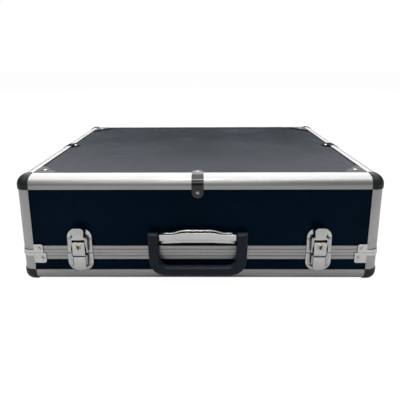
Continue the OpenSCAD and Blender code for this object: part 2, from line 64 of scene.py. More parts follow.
# levels and half sizes of the rails, in millimetres, read from the frame
RAIL_LO, RAIL_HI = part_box("lower_front_rail")
HX = -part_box("lower_left_rail")[0].x / MM
HY = -RAIL_LO.y / MM
Z_LO = RAIL_LO.z / MM
Z_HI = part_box("upper_front_rail")[1].z / MM
LEG = (RAIL_HI.z - RAIL_LO.z) / MM
SEAM = JOINTS["case_hinge"]["pos_m"][2] / MM
AXLE = [v / MM for v in JOINTS["handle_swing"]["pos_m"]]
PROUD = -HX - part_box("lower_cap_front_left")[0].x / MM


# ---------------------------------------------------------------- settings


class CaseSizes(bpy.types.PropertyGroup):
    """Sizes of the finishing work"""

    soft_edge: FloatProperty(
        name="Soft edge", description="Rounding of pressed metal edges",
        default=0.00035, min=0.0001, max=0.001, unit="LENGTH")
    board_edge: FloatProperty(
        name="Board edge", description="Rounding of the wall boards' edges",
        default=0.0004, min=0.0001, max=0.002, unit="LENGTH")
    cap_round: FloatProperty(
        name="Cap rounding", description="Outer radius of the corner caps",
        default=0.013, min=0.006, max=0.016, unit="LENGTH")
    tab_curl: FloatProperty(
        name="Tab curl", description="How far the latch tab curls outwards",
        default=0.0036, min=0.001, max=0.004, unit="LENGTH")


class CaseColours(bpy.types.PropertyGroup):
    """Colours of the finishes"""

    laminate: FloatVectorProperty(
        name="Laminate", description="Wall boards", subtype="COLOR", size=3,
        default=(0.0003, 0.0022, 0.0070), min=0, max=1)
    aluminium: FloatVectorProperty(
        name="Aluminium", description="Rails and seam profiles", subtype="COLOR", size=3,
        default=(0.44, 0.44, 0.435), min=0, max=1)
    chrome: FloatVectorProperty(
        name="Chrome", description="Latches and plates", subtype="COLOR", size=3,
        default=(0.62, 0.62, 0.61), min=0, max=1)
    corner: FloatVectorProperty(
        name="Corner plastic", description="Corner caps", subtype="COLOR", size=3,
        default=(0.011, 0.014, 0.015), min=0, max=1)
    handle: FloatVectorProperty(
        name="Handle plastic", description="Carrying handle", subtype="COLOR", size=3,
        default=(0.0030, 0.0060, 0.0120), min=0, max=1)
    brass: FloatVectorProperty(
        name="Brass", description="Key plugs", subtype="COLOR", size=3,
        default=(0.50, 0.43, 0.27), min=0, max=1)
    lining: FloatVectorProperty(
        name="Lining", description="Flocked lining", subtype="COLOR", size=3,
        default=(0.020, 0.020, 0.023), min=0, max=1)
    floor: FloatVectorProperty(
        name="Floor", description="Studio floor", subtype="COLOR", size=3,
        default=(0.46, 0.46, 0.46), min=0, max=1)


class CaseCamera(bpy.types.PropertyGroup):
    """The view"""

    lens: FloatProperty(name="Lens", description="Focal length in millimetres",
                        default=32.56, min=10, max=200)
    shift: FloatProperty(name="Shift", description="Vertical shift",
                         default=-0.172, min=-0.5, max=0.5)
    place: FloatVectorProperty(name="Place", description="Camera position",
                               default=(0.00435, -0.585, 0.2879), unit="LENGTH")
    pitch: FloatProperty(name="Pitch", description="Angle below level",
                         default=math.radians(11.8), unit="ROTATION")
    turn: FloatProperty(name="Turn", description="Angle to the left",
                        default=math.radians(0.48), unit="ROTATION")
    roll: FloatProperty(name="Roll", description="Angle clockwise",
                        default=math.radians(0.25), unit="ROTATION")


# ---------------------------------------------------------------- shader groups


def new_group(name, inputs, outputs):
    """Starts a shader group, and returns it with its input and output nodes."""
    g = bpy.data.node_groups.new(name, "ShaderNodeTree")
    for label, kind, value in inputs:
        s = g.interface.new_socket(name=label, in_out="INPUT", socket_type="NodeSocket" + kind)
        s.default_value = value
    for label, kind in outputs:
        g.interface.new_socket(name=label, in_out="OUTPUT", socket_type="NodeSocket" + kind)
    return g, g.nodes.new("NodeGroupInput"), g.nodes.new("NodeGroupOutput")


def node(tree, kind, **sets):
    """Adds a shader node and sets its properties, or its sockets of that name."""
    n = tree.nodes.new("ShaderNode" + kind)
    for k, v in sets.items():
        if hasattr(n, k):
            setattr(n, k, v)
        else:
            n.inputs[k.replace("_", " ")].default_value = v
    return n


def maths(tree, op, a, b=None, clamp=False):
    """Adds a Math node whose inputs are sockets or numbers, and returns its value."""
    n = node(tree, "Math", operation=op, use_clamp=clamp)
    for i, v in enumerate((a, b)):
        if v is None:
            continue
        if isinstance(v, (int, float)):
            n.inputs[i].default_value = v
        else:
            tree.links.new(v, n.inputs[i])
    return n.outputs[0]


def remap(tree, value, lo, hi, out_lo=0.0, out_hi=1.0):
    """Maps lo..hi to out_lo..out_hi, held at both ends."""
    n = node(tree, "MapRange", clamp=True)
    tree.links.new(value, n.inputs["Value"])
    for k, v in (("From Min", lo), ("From Max", hi), ("To Min", out_lo), ("To Max", out_hi)):
        n.inputs[k].default_value = v
    return n.outputs["Result"]


def place_coords(tree, scale):
    """Object coordinates, scaled along each axis."""
    c = node(tree, "TexCoord")
    m = node(tree, "Mapping")
    m.inputs["Scale"].default_value = scale
    tree.links.new(c.outputs["Object"], m.inputs["Vector"])
    return m.outputs["Vector"]


def group_drawn_lines():
    """Fine lines along an extrusion, as a value round 0.5. Stretch is smaller along the length."""
    g, gi, go = new_group(
        "Drawn lines",
        [("Stretch", "Vector", (1, 1, 1)), ("Fineness", "Float", 1.0)],
        [("Value", "Float")])
    c = node(g, "TexCoord")
    mul = node(g, "VectorMath", operation="MULTIPLY")
    g.links.new(c.outputs["Object"], mul.inputs[0])
    g.links.new(gi.outputs["Stretch"], mul.inputs[1])
    n = node(g, "TexNoise", Scale=1.0, Detail=5.0, Roughness=0.7)
    g.links.new(mul.outputs[0], n.inputs["Vector"])
    g.links.new(gi.outputs["Fineness"], n.inputs["Scale"])
    g.links.new(n.outputs["Fac"], go.inputs["Value"])
    return g


def group_edge_wear():
    """Mask that is 1 on worn convex edges."""
    g, gi, go = new_group(
        "Edge wear",
        [("Width", "Float", 0.0008), ("Breakup", "Float", 350.0), ("Amount", "Float", 1.0)],
        [("Mask", "Float")])
    bev = node(g, "Bevel", samples=4)
    g.links.new(gi.outputs["Width"], bev.inputs["Radius"])
    geo = node(g, "NewGeometry")
    dot = node(g, "VectorMath", operation="DOT_PRODUCT")
    g.links.new(bev.outputs[0], dot.inputs[0])
    g.links.new(geo.outputs["Normal"], dot.inputs[1])
    edge = remap(g, dot.outputs["Value"], 0.995, 0.90)
    c = node(g, "TexCoord")
    n = node(g, "TexNoise", Detail=4.0, Roughness=0.65)
    g.links.new(c.outputs["Object"], n.inputs["Vector"])
    g.links.new(gi.outputs["Breakup"], n.inputs["Scale"])
    broken = remap(g, n.outputs["Fac"], 0.46, 0.66)
    out = maths(g, "MULTIPLY", maths(g, "MULTIPLY", edge, broken), gi.outputs["Amount"], clamp=True)
    g.links.new(out, go.inputs["Mask"])
    return g


def group_handling():
    """Smudges and faint hairline scratches, each as a mask from 0 to 1."""
    g, gi, go = new_group(
        "Handling marks",
        [("Smudge size", "Float", 14.0), ("Scratch size", "Float", 60.0)],
        [("Smudge", "Float"), ("Scratch", "Float")])
    c = node(g, "TexCoord")
    a = node(g, "TexNoise", Detail=4.0, Roughness=0.55)
    g.links.new(c.outputs["Object"], a.inputs["Vector"])
    g.links.new(gi.outputs["Smudge size"], a.inputs["Scale"])
    g.links.new(remap(g, a.outputs["Fac"], 0.35, 0.70), go.inputs["Smudge"])
    warp = node(g, "TexNoise", Scale=9.0, Detail=2.0)
    g.links.new(c.outputs["Object"], warp.inputs["Vector"])
    add = node(g, "VectorMath", operation="ADD")
    g.links.new(c.outputs["Object"], add.inputs[0])
    sc = node(g, "VectorMath", operation="SCALE", Scale=0.03)
    g.links.new(warp.outputs["Color"], sc.inputs[0])
    g.links.new(sc.outputs[0], add.inputs[1])
    v = node(g, "TexVoronoi", feature="DISTANCE_TO_EDGE")
    g.links.new(add.outputs[0], v.inputs["Vector"])
    g.links.new(gi.outputs["Scratch size"], v.inputs["Scale"])
    line = remap(g, v.outputs["Distance"], 0.006, 0.0)
    few = node(g, "TexNoise", Scale=23.0, Detail=2.0)
    g.links.new(c.outputs["Object"], few.inputs["Vector"])
    kept = remap(g, few.outputs["Fac"], 0.56, 0.68)
    g.links.new(maths(g, "MULTIPLY", line, kept), go.inputs["Scratch"])
    return g


def group_dust():
    """Dust that lies on upward faces, as a mask."""
    g, gi, go = new_group(
        "Settled dust", [("Amount", "Float", 0.2), ("Grain", "Float", 900.0)],
        [("Mask", "Float")])
    geo = node(g, "NewGeometry")
    sep = node(g, "SeparateXYZ")
    g.links.new(geo.outputs["Normal"], sep.inputs[0])
    up = remap(g, sep.outputs["Z"], 0.5, 1.0)
    c = node(g, "TexCoord")
    n = node(g, "TexNoise", Detail=5.0, Roughness=0.7)
    g.links.new(c.outputs["Object"], n.inputs["Vector"])
    g.links.new(gi.outputs["Grain"], n.inputs["Scale"])
    wide = node(g, "TexNoise", Scale=6.0, Detail=3.0)
    g.links.new(c.outputs["Object"], wide.inputs["Vector"])
    fine = remap(g, n.outputs["Fac"], 0.45, 0.75)
    broad = remap(g, wide.outputs["Fac"], 0.3, 0.7, 0.4, 1.0)
    m = maths(g, "MULTIPLY", maths(g, "MULTIPLY", up, fine), broad)
    g.links.new(maths(g, "MULTIPLY", m, gi.outputs["Amount"], clamp=True), go.inputs["Mask"])
    return g


def group_painted_gap_shade():
    """Painted shade: a mask that is 1 deep in the crevices between pieces, where ambient occlusion
    finds shade.
    """
    g, gi, go = new_group("Painted gap shade", [("Reach", "Float", 0.003), ("Amount", "Float", 1.0)],
                          [("Mask", "Float")])
    ao = node(g, "AmbientOcclusion", samples=8)
    g.links.new(gi.outputs["Reach"], ao.inputs["Distance"])
    # painted shade: occlusion remapped so that the most shaded crevices give a full mask
    m = remap(g, ao.outputs["AO"], 0.84, 0.46)
    g.links.new(maths(g, "MULTIPLY", m, gi.outputs["Amount"], clamp=True), go.inputs["Mask"])
    return g


GROUPS = {}


def group(tree, name, **values):
    """Places one of the shared shader groups in a material."""
    if name not in GROUPS:
        GROUPS[name] = {
            "lines": group_drawn_lines, "wear": group_edge_wear,
            "marks": group_handling, "dust": group_dust, "gap_shade": group_painted_gap_shade}[name]()
    n = tree.nodes.new("ShaderNodeGroup")
    n.node_tree = GROUPS[name]
    for k, v in values.items():
        n.inputs[k.replace("_", " ")].default_value = v
    return n


# ---------------------------------------------------------------- materials


def start_material(name, **sockets):
    """Starts a material, and returns it with its node tree and its surface shader."""
    m = bpy.data.materials.new(name)
    m.use_nodes = True
    t = m.node_tree
    t.nodes.clear()
    out = t.nodes.new("ShaderNodeOutputMaterial")
    out.name = "Material Output"
    p = t.nodes.new("ShaderNodeBsdfPrincipled")
    t.links.new(p.outputs[0], out.inputs["Surface"])
    for k, v in sockets.items():
        p.inputs[k.replace("_", " ")].default_value = v
    return m, t, p


def colour_mix(tree, fac, a, b):
    """Mixes two colours, each a socket or a plain value, by a factor socket."""
    n = node(tree, "Mix", data_type="RGBA")
    tree.links.new(fac, n.inputs["Factor"])
    for s, v in ((n.inputs[6], a), (n.inputs[7], b)):
        if hasattr(v, "is_linked"):
            tree.links.new(v, s)
        else:
            s.default_value = (*v, 1) if len(v) == 3 else v
    return n.outputs[2]


def bump(tree, shader, height, strength, distance):
    """Feeds a height socket to a shader's normal through a Bump node."""
    b = node(tree, "Bump", Strength=strength, Distance=distance)
    tree.links.new(height, b.inputs["Height"])
    tree.links.new(b.outputs[0], shader.inputs["Normal"])


def laminate_material(colour):
    """Smooth dark board laminate with a very fine grain, smudges and settled dust."""
    m, t, p = start_material("laminate", IOR=1.5, Specular_IOR_Level=0.06,
                             Specular_Tint=(0.3, 0.75, 1, 1))
    marks = group(t, "marks", Smudge_size=9.0, Scratch_size=38.0)
    dust = group(t, "dust", Amount=0.05)
    wear = group(t, "wear", Width=0.0012, Amount=0.5)
    lighter = (colour[0] * 1.5, colour[1] * 2.2, colour[2] * 1.9)
    c = colour_mix(t, remap(t, marks.outputs["Smudge"], 0, 1, 0.0, 0.8), colour, lighter)
    c = colour_mix(t, maths(t, "MULTIPLY", marks.outputs["Scratch"], 0.12), c, (0.10, 0.11, 0.13))
    c = colour_mix(t, dust.outputs[0], c, (0.30, 0.29, 0.27))
    c = colour_mix(t, maths(t, "MULTIPLY", wear.outputs[0], 0.35), c, (0.12, 0.12, 0.13))
    t.links.new(c, p.inputs["Base Color"])
    r = maths(t, "ADD", remap(t, marks.outputs["Smudge"], 0, 1, 0.21, 0.29),
              maths(t, "MULTIPLY", dust.outputs[0], 2.0))
    t.links.new(r, p.inputs["Roughness"])
    grain = node(t, "TexNoise", Scale=1.0, Detail=3.0, Roughness=0.6)
    t.links.new(place_coords(t, (2600, 2600, 2600)), grain.inputs["Vector"])
    bump(t, p, grain.outputs["Fac"], 0.10, 0.0002)
    return m


def aluminium_material(name, colour, stretch):
    """Satin anodised extrusion with drawn lines along its length."""
    m, t, p = start_material(name, Metallic=1.0)
    lines = group(t, "lines", Stretch=stretch, Fineness=1.0)
    marks = group(t, "marks", Smudge_size=16.0, Scratch_size=90.0)
    wear = group(t, "wear", Width=0.0006, Amount=0.6)
    dull = tuple(v * 0.84 for v in colour)
    c = colour_mix(t, remap(t, lines.outputs[0], 0.3, 0.7), dull, colour)
    c = colour_mix(t, maths(t, "MULTIPLY", marks.outputs["Smudge"], 0.22), c,
                   tuple(v * 0.78 for v in colour))
    c = colour_mix(t, maths(t, "MULTIPLY", wear.outputs[0], 0.5), c, (0.86, 0.86, 0.86))
    # painted shade: near black mixed into the colour where ambient occlusion finds the crevices
    # between pieces
    gap_shade = group(t, "gap_shade", Reach=0.0016, Amount=0.9)
    c = colour_mix(t, gap_shade.outputs[0], c, (0.02, 0.02, 0.02))
    t.links.new(c, p.inputs["Base Color"])
    r = maths(t, "ADD", remap(t, lines.outputs[0], 0.25, 0.75, 0.30, 0.42),
              maths(t, "MULTIPLY", marks.outputs["Smudge"], 0.07))
    r = maths(t, "ADD", r, maths(t, "MULTIPLY", marks.outputs["Scratch"], 0.12))
    t.links.new(r, p.inputs["Roughness"])
    bump(t, p, lines.outputs[0], 0.22, 0.00006)
    return m


def chrome_material(name, colour, rough):
    """Bright plated pressed steel, with handling marks and a slight ripple."""
    m, t, p = start_material(name, Metallic=1.0)
    marks = group(t, "marks", Smudge_size=60.0, Scratch_size=160.0)
    wear = group(t, "wear", Width=0.0004, Amount=0.7)
    c = colour_mix(t, maths(t, "MULTIPLY", marks.outputs["Smudge"], 0.25), colour,
                   tuple(v * 0.80 for v in colour))
    # worn convex edges mix towards pale tan: partly rubbed plating, and on the dark nickel plate
    # partly a painted highlight along its edges
    c = colour_mix(t, maths(t, "MULTIPLY", wear.outputs[0], 0.45), c, (0.50, 0.47, 0.42))
    # painted shade: near black mixed into the colour deep in the crevices between the plated
    # pieces, found by ambient occlusion
    gap_shade = group(t, "gap_shade", Reach=0.009, Amount=0.97)
    c = colour_mix(t, gap_shade.outputs[0], c, (0.02, 0.02, 0.02))
    t.links.new(c, p.inputs["Base Color"])
    r = remap(t, marks.outputs["Smudge"], 0, 1, rough, rough + 0.10)
    r = maths(t, "ADD", r, maths(t, "MULTIPLY", marks.outputs["Scratch"], 0.25))
    t.links.new(r, p.inputs["Roughness"])
    ripple = node(t, "TexNoise", Scale=140.0, Detail=2.0)
    co = node(t, "TexCoord")
    t.links.new(co.outputs["Object"], ripple.inputs["Vector"])
    bump(t, p, ripple.outputs["Fac"], 0.06, 0.0006)
    return m


def plastic_material(name, colour, rough, worn, grain_scale, grain_strength):
    """Moulded plastic with a fine spark-eroded grain, rubbed shinier and lighter on its edges."""
    m, t, p = start_material(name, IOR=1.49, Specular_IOR_Level=0.22)
    marks = group(t, "marks", Smudge_size=30.0, Scratch_size=120.0)
    wear = group(t, "wear", Width=0.0016, Amount=0.9)
    dust = group(t, "dust", Amount=0.10)
    c = colour_mix(t, remap(t, marks.outputs["Smudge"], 0, 1, 0.0, 0.55), colour,
                   tuple(v * 1.7 for v in colour))
    c = colour_mix(t, maths(t, "MULTIPLY", wear.outputs[0], 0.5), c, worn)
    c = colour_mix(t, maths(t, "MULTIPLY", marks.outputs["Scratch"], 0.25), c, worn)
    c = colour_mix(t, dust.outputs[0], c, (0.25, 0.24, 0.22))
    t.links.new(c, p.inputs["Base Color"])
    r = maths(t, "SUBTRACT", remap(t, marks.outputs["Smudge"], 0, 1, rough + 0.06, rough - 0.05),
              maths(t, "MULTIPLY", wear.outputs[0], 0.10))
    t.links.new(r, p.inputs["Roughness"])
    v = node(t, "TexVoronoi", feature="F1")
    t.links.new(place_coords(t, (grain_scale,) * 3), v.inputs["Vector"])
    bump(t, p, v.outputs["Distance"], grain_strength, 0.0003)
    return m


def lining_material(colour):
    """Flocked cloth: short fibres, a nap that mottles, and a soft sheen."""
    m, t, p = start_material("lining", Roughness=0.95, Sheen_Weight=0.35, Sheen_Roughness=0.5)
    fibre = node(t, "TexNoise", Scale=1.0, Detail=6.0, Roughness=0.8)
    t.links.new(place_coords(t, (3200, 3200, 3200)), fibre.inputs["Vector"])
    nap = node(t, "TexNoise", Scale=1.0, Detail=3.0)
    t.links.new(place_coords(t, (22, 22, 22)), nap.inputs["Vector"])
    f = maths(t, "MULTIPLY", fibre.outputs["Fac"], remap(t, nap.outputs["Fac"], 0.3, 0.7, 0.5, 1.0))
    c = colour_mix(t, remap(t, f, 0.2, 0.6), tuple(v * 0.55 for v in colour),
                   tuple(v * 1.9 for v in colour))
    t.links.new(c, p.inputs["Base Color"])
    bump(t, p, fibre.outputs["Fac"], 0.5, 0.0005)
    return m


MATS = {}


def build_materials(k):
    """Makes every finish once, from the colours."""
    al = tuple(k.aluminium)
    MATS["laminate"] = laminate_material(tuple(k.laminate))
    MATS["al_x"] = aluminium_material("satin aluminium, along x", al, (9, 2600, 2600))
    MATS["al_y"] = aluminium_material("satin aluminium, along y", al, (2600, 9, 2600))
    MATS["al_z"] = aluminium_material("satin aluminium, upright", al, (2600, 2600, 9))
    MATS["al_seam"] = aluminium_material("satin aluminium, seam", al, (40, 40, 2600))
    MATS["chrome"] = chrome_material("bright plate", tuple(k.chrome), 0.14)
    MATS["nickel"] = chrome_material("nickel plate", (0.055, 0.055, 0.055), 0.10)
    MATS["pins"] = chrome_material("pin steel", (0.5, 0.5, 0.51), 0.28)
    MATS["corner"] = plastic_material("corner plastic", tuple(k.corner), 0.36,
                                      (0.09, 0.10, 0.11), 900, 0.12)
    MATS["handle"] = plastic_material("handle plastic", tuple(k.handle), 0.42,
                                      (0.07, 0.08, 0.10), 1100, 0.16)
    MATS["rubber"] = plastic_material("foot rubber", (0.012, 0.012, 0.012), 0.62,
                                      (0.05, 0.05, 0.05), 700, 0.25)
    MATS["brass"] = chrome_material("plug brass", tuple(k.brass), 0.24)
    MATS["lining"] = lining_material(tuple(k.lining))


# ---------------------------------------------------------------- mesh helpers


def finish_object(name, bm, body, mat, replaces=(), sharp=40.0):
    """Turns a bmesh in millimetres into a piece that rides on a body."""
    bmesh.ops.remove_doubles(bm, verts=bm.verts, dist=1e-4)
    bmesh.ops.recalc_face_normals(bm, faces=bm.faces)
    me = bpy.data.meshes.new(name)
    bm.to_mesh(me)
    bm.free()
    me.transform(Matrix.Scale(MM, 4))
    for poly in me.polygons:
        poly.use_smooth = True
    me.set_sharp_from_angle(angle=math.radians(sharp))
    me.materials.append(MATS[mat])
    ob = bpy.data.objects.new(name, me)
    bpy.context.scene.collection.objects.link(ob)
    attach(ob, body)
    if replaces:
        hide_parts(*replaces)
    return ob


def add_bevel(ob, width):
    """Takes the sharpness off a piece's edges, leaving its mesh as it is."""
    mod = ob.modifiers.new("soft edges", "BEVEL")
    mod.width = width
    mod.segments = 2
    mod.limit_method = "ANGLE"
    mod.angle_limit = math.radians(30)
    mod.harden_normals = False
    mod.use_clamp_overlap = True


def area(pts):
    """Signed area of a closed outline, positive when it runs anticlockwise."""
    return sum(a[0] * b[1] - b[0] * a[1] for a, b in zip(pts, pts[1:] + pts[:1])) / 2


def inset(pts, d):
    """Moves a closed outline inwards by d along its corner normals."""
    n = len(pts)
    s = 1 if area(pts) > 0 else -1
    out = []
    for i, p in enumerate(pts):
        a, b = pts[i - 1], pts[(i + 1) % n]
        e1 = Vector((p[0] - a[0], p[1] - a[1])).normalized()
        e2 = Vector((b[0] - p[0], b[1] - p[1])).normalized()
        n1, n2 = Vector((-e1.y, e1.x)) * s, Vector((-e2.y, e2.x)) * s
        m = n1 + n2
        k = max(0.35, 1 + n1.dot(n2))
        out.append((p[0] + m.x * d / k, p[1] + m.y * d / k))
    return out


def arc(cx, cy, r, a0, a1, n):
    """Points round a circle's arc from angle a0 to a1, in degrees."""
    return [(cx + r * math.cos(math.radians(a0 + (a1 - a0) * i / n)),
             cy + r * math.sin(math.radians(a0 + (a1 - a0) * i / n))) for i in range(n + 1)]


def dense(pts, step):
    """Adds points along the long sides of a closed outline."""
    out = []
    for a, b in zip(pts, pts[1:] + pts[:1]):
        n = max(1, int(math.hypot(b[0] - a[0], b[1] - a[1]) / step))
        out += [(a[0] + (b[0] - a[0]) * i / n, a[1] + (b[1] - a[1]) * i / n) for i in range(n)]
    return out


def join_rows(bm, a, b):
    """Joins two closed rows of corners with a band of faces."""
    n = len(a)
    for i in range(n):
        bm.faces.new((a[i], a[(i + 1) % n], b[(i + 1) % n], b[i]))


def rounded_plate(bm, pts, place, low, high, edge, crown=0.0, rings=4, lift=None, hole=None):
    """
    A pressed plate: its rim rounds over and its face is crowned.
    place maps (x, y, height) to space, and hole is the (x, y, radius) of a bore through it.
    """
    cx, cy, bore = hole or (sum(p[0] for p in pts) / len(pts), sum(p[1] for p in pts) / len(pts), 0)

    def towards_middle(p, s):
        d = Vector((p[0] - cx, p[1] - cy))
        q = d.normalized() * bore
        return cx + q.x + (d.x - q.x) * s, cy + q.y + (d.y - q.y) * s

    levels = [(pts, low)]
    for i in range(5):
        a = math.pi / 2 * i / 4
        levels.append((inset(pts, edge * (1 - math.cos(a))), high - edge * (1 - math.sin(a))))
    top = levels[-1][0]
    for j in range(1, rings + 1):
        s = 1 - j / (rings + 1)
        levels.append(([towards_middle(p, s) for p in top], high + crown * (1 - s * s)))
    if hole:
        levels += [([towards_middle(p, 0) for p in top], h) for h in (high + crown, low)]
    bend = lift or (lambda x, y: 0.0)
    loops = [[bm.verts.new(place(x, y, h + bend(x, y))) for x, y in ring] for ring, h in levels]
    n = len(pts)
    for a, b in zip(loops, loops[1:] + loops[:1] if hole else loops[1:]):
        join_rows(bm, a, b)
    if hole:
        return
    tip = bm.verts.new(place(cx, cy, high + crown + bend(cx, cy)))
    for i in range(n):
        bm.faces.new((loops[-1][i], loops[-1][(i + 1) % n], tip))
    bm.faces.new(list(reversed(loops[0])))


def lathe(bm, profile, place, n=32):
    """Turns a profile of (radius, height) points about the local height axis."""
    rows = []
    for r, h in profile:
        if r < 1e-6:
            rows.append([bm.verts.new(place(0, 0, h))])
        else:
            rows.append([bm.verts.new(place(r * math.cos(2 * math.pi * i / n),
                                            r * math.sin(2 * math.pi * i / n), h))
                         for i in range(n)])
    for a, b in zip(rows, rows[1:]):
        for i in range(n):
            j = (i + 1) % n
            if len(a) == 1:
                bm.faces.new((a[0], b[j], b[i]))
            elif len(b) == 1:
                bm.faces.new((a[i], a[j], b[0]))
            else:
                bm.faces.new((a[i], a[j], b[j], b[i]))


def front_place(cx, z0):
    """Local x across, y up and height forwards of the front rails' face."""
    return lambda x, y, h: Vector((cx + x, -HY - h, z0 + y))


# ---------------------------------------------------------------- the CAD pieces' finish


def cad_finish(name):
    """(material, edge rounding) for each carried-over CAD node."""
    soft = bpy.context.scene.case_sizes.soft_edge
    board = bpy.context.scene.case_sizes.board_edge
    if "panel" in name:
        return "laminate", board
    if "rail_clips" in name:
        return "nickel", soft
    if name.endswith("_rail"):
        return ("al_x" if "front" in name or "rear" in name else "al_y"), soft
    if "posts" in name:
        return "al_z", soft
    if "seam_ring" in name:
        return "al_seam", soft * 0.8
    if "lining" in name:
        return "lining", board
    if "feet" in name:
        return "rubber", soft * 2
    if "plug" in name:
        return "brass", 0.0001
    if "pins" in name:
        return "pins", soft * 0.6
    if "rivets" in name:
        return "pins", 0.0
    if "cap_" in name:
        return "corner", soft
    if name == "handle_bail":
        return "handle", soft * 3
    return "chrome", soft


class CASE_OT_cad_finish(bpy.types.Operator):
    """Gives every CAD piece its finish and takes the sharpness off its edges"""

    bl_idname = "attache.cad_finish"
    bl_label = "Finish the CAD pieces"

    def execute(self, context):
        build_materials(context.scene.case_colours)
        for name, ob in NODES.items():
            mat, width = cad_finish(name)
            ob.data.materials.clear()
            ob.data.materials.append(MATS[mat])
            for poly in ob.data.polygons:
                poly.use_smooth = True
            ob.data.set_sharp_from_angle(angle=math.radians(28))
            if width:
                add_bevel(ob, width)
        return {"FINISHED"}


# ---------------------------------------------------------------- corner caps


def cap_mesh(bm, sx, sy, upper, radius):
    """A moulded corner: a ball-nosed shell over three faces, with its riveted leaf."""
    end = LEG - 0.1
    lo = -PROUD
    c = lo + radius
    n = 18

    def place(u, v, w):
        z = (Z_HI - w) if upper else (Z_LO + w)
        return Vector((sx * (HX - u), sy * (HY - v), z))

    def rounded(q):
        k = Vector([max(a, c) for a in q])
        d = q - k
        return k + d.normalized() * radius if d.length > 1e-9 else q

    span = [lo + (end - lo) * i / n for i in range(n + 1)]
    wall = 2.2
    outer, inner = {}, {}
    for axis in range(3):
        for i, a in enumerate(span):
            for j, b in enumerate(span):
                q = [a, b]
                q.insert(axis, lo)
                q = Vector(q)
                key = tuple(round(x, 4) for x in q)
                if key not in outer:
                    p = rounded(q)
                    outer[key] = bm.verts.new(place(*p))
                    k = Vector([max(x, c) for x in q])
                    d = p - k
                    s = (radius - wall) / radius
                    r = k + d * s
                    r = Vector([min(x, end) for x in r])
                    inner[key] = bm.verts.new(place(*r))
    for axis in range(3):
        def key(i, j):
            q = [span[i], span[j]]
            q.insert(axis, lo)
            return tuple(round(x, 4) for x in q)
        for i in range(n):
            for j in range(n):
                ks = [key(i, j), key(i + 1, j), key(i + 1, j + 1), key(i, j + 1)]
                bm.faces.new([outer[k] for k in ks])
                bm.faces.new([inner[k] for k in reversed(ks)])
        for i in range(n):
            for a, b in ((key(i, n), key(i + 1, n)), (key(n, i), key(n, i + 1))):
                bm.faces.new([outer[a], outer[b], inner[b], inner[a]])

    a = LEG + 0.2
    leaf = [(a, a), (42.5, a), (44.6, a + 0.9), (45.4, a + 2.6), (44.2, a + 5.0),
            (a + 5.0, 44.2), (a + 2.6, 45.4), (a + 0.9, 44.6), (a, 42.5)]
    rounded_plate(bm, dense(leaf, 3.0), lambda x, y, h: place(x, y, -h), -1.45, 0.35, 0.5)
    dish = [(5.6, 0.33), (5.2, 0.62), (4.6, 0.70), (3.8, 0.60), (3.0, 0.45), (2.2, 0.40),
            (2.2, 0.1), (5.6, 0.1), (5.6, 0.33)]
    lathe(bm, dish, lambda x, y, h: place(28 + x, 28 + y, -h), 28)


class CASE_OT_corner_caps(bpy.types.Operator):
    """Builds the eight moulded corner caps with their leaves"""

    bl_idname = "attache.corner_caps"
    bl_label = "Corner caps"

    def execute(self, context):
        radius = context.scene.case_sizes.cap_round / MM
        for half, body, upper in (("lower", "shallow_half", False), ("upper", "deep_half", True)):
            for fr, sy in (("front", -1), ("rear", 1)):
                for side, sx in (("left", -1), ("right", 1)):
                    bm = bmesh.new()
                    cap_mesh(bm, sx, sy, upper, radius)
                    name = "_".join((half, "cap", fr, side))
                    finish_object(name + "_moulding", bm, body, "corner",
                                  (name,), sharp=50)
        return {"FINISHED"}


# ---------------------------------------------------------------- handle


